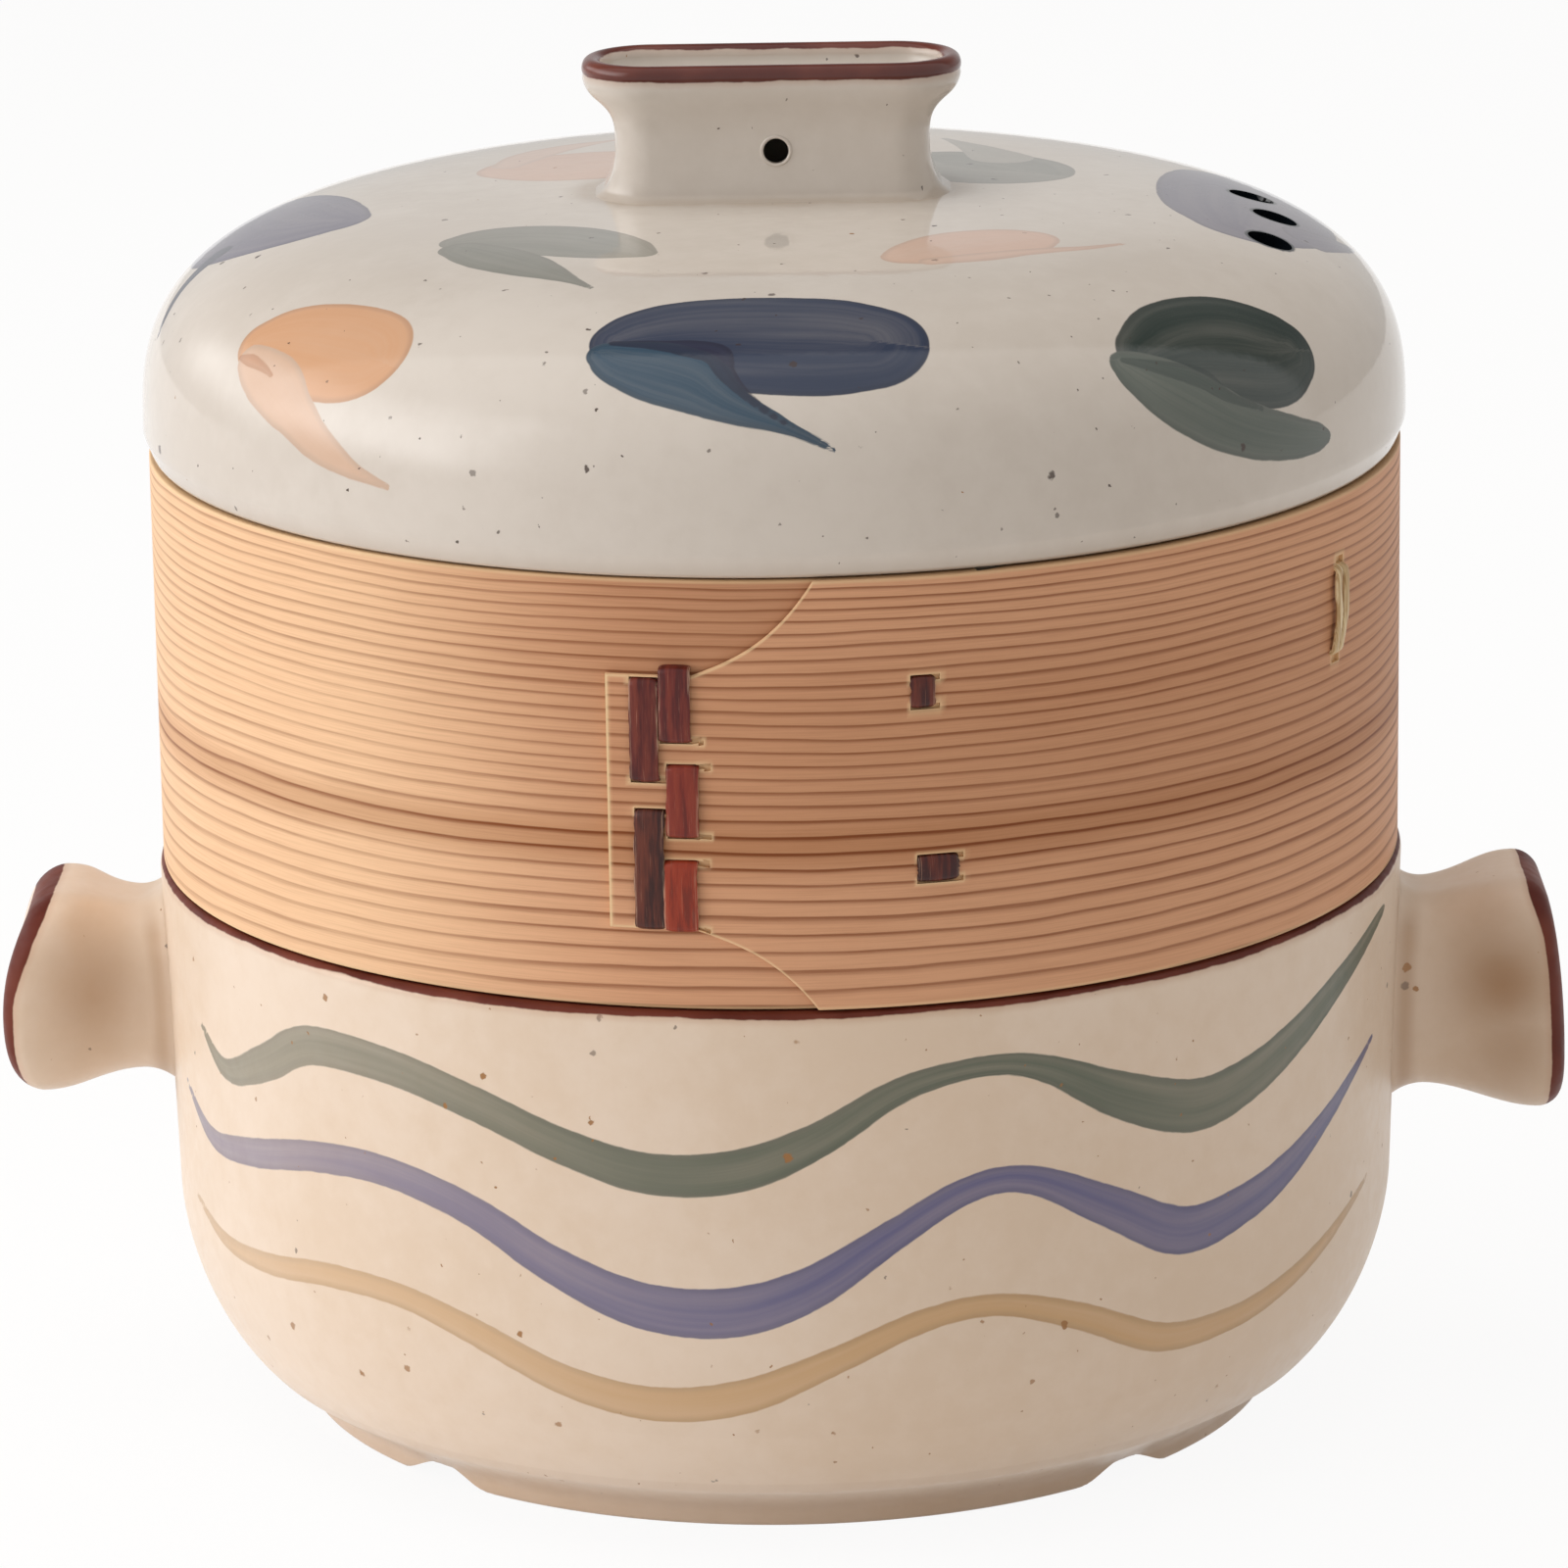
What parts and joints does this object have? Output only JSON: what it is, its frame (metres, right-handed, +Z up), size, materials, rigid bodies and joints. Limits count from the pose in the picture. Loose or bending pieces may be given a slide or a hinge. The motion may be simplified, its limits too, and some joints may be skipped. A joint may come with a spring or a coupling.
{
  "type": "ceramic steamer pot",
  "caption": "Round glazed stoneware pot with lug handles, a bentwood steamer tier with a slatted shelf, and a domed lid with an oblong knob.",
  "frame": {"origin": "centre of the foot's underside, on the floor", "axes": "+Z up, +X through the right lug handle, -Y towards the laced lap at the front"},
  "size_m": [0.284, 0.2268, 0.2449],
  "materials": {
    "cream_glaze": "satin cream glaze with brown specks, painted stripes and a brown rim",
    "grey_glaze": "gloss warm grey glaze with dark specks, painted leaves and a brown knob lip",
    "cedar": "plain planed cedar with close straight grain",
    "pale_cedar": "plain planed cedar, paler on the inside",
    "bamboo": "plain split bamboo",
    "bark": "glossy dark red-brown cherry bark strip",
    "cane": "plain pale cane strip"
  },
  "bodies": {
    "pot": {"pot_base": "cream_glaze", "pot_wall": "cream_glaze"},
    "steamer": {"outer_hoop": "cedar", "upper_inner_hoop": "pale_cedar", "lower_inner_hoop": "pale_cedar", "slat_01": "bamboo", "slat_02": "bamboo", "slat_03": "bamboo", "slat_04": "bamboo", "slat_05": "bamboo", "slat_06": "bamboo", "slat_07": "bamboo", "slat_08": "bamboo", "slat_09": "bamboo", "slat_10": "bamboo", "slat_11": "bamboo", "slat_12": "bamboo", "slat_13": "bamboo", "slat_14": "bamboo", "bearer_left": "bamboo", "bearer_right": "bamboo", "lacing_left": "bark", "lacing_right": "bark", "stitch_upper": "bark", "stitch_lower": "bark", "cane_tie": "cane"},
    "lid": {"lid": "grey_glaze"}
  },
  "joints": [
    {"name": "steamer_lift", "type": "slide", "parent": "pot", "child": "steamer", "axis": [0, 0, 1], "range_m": [0, 0.11]},
    {"name": "lid_lift", "type": "slide", "parent": "steamer", "child": "lid", "axis": [0, 0, 1], "range_m": [0, 0.11]}
  ]
}
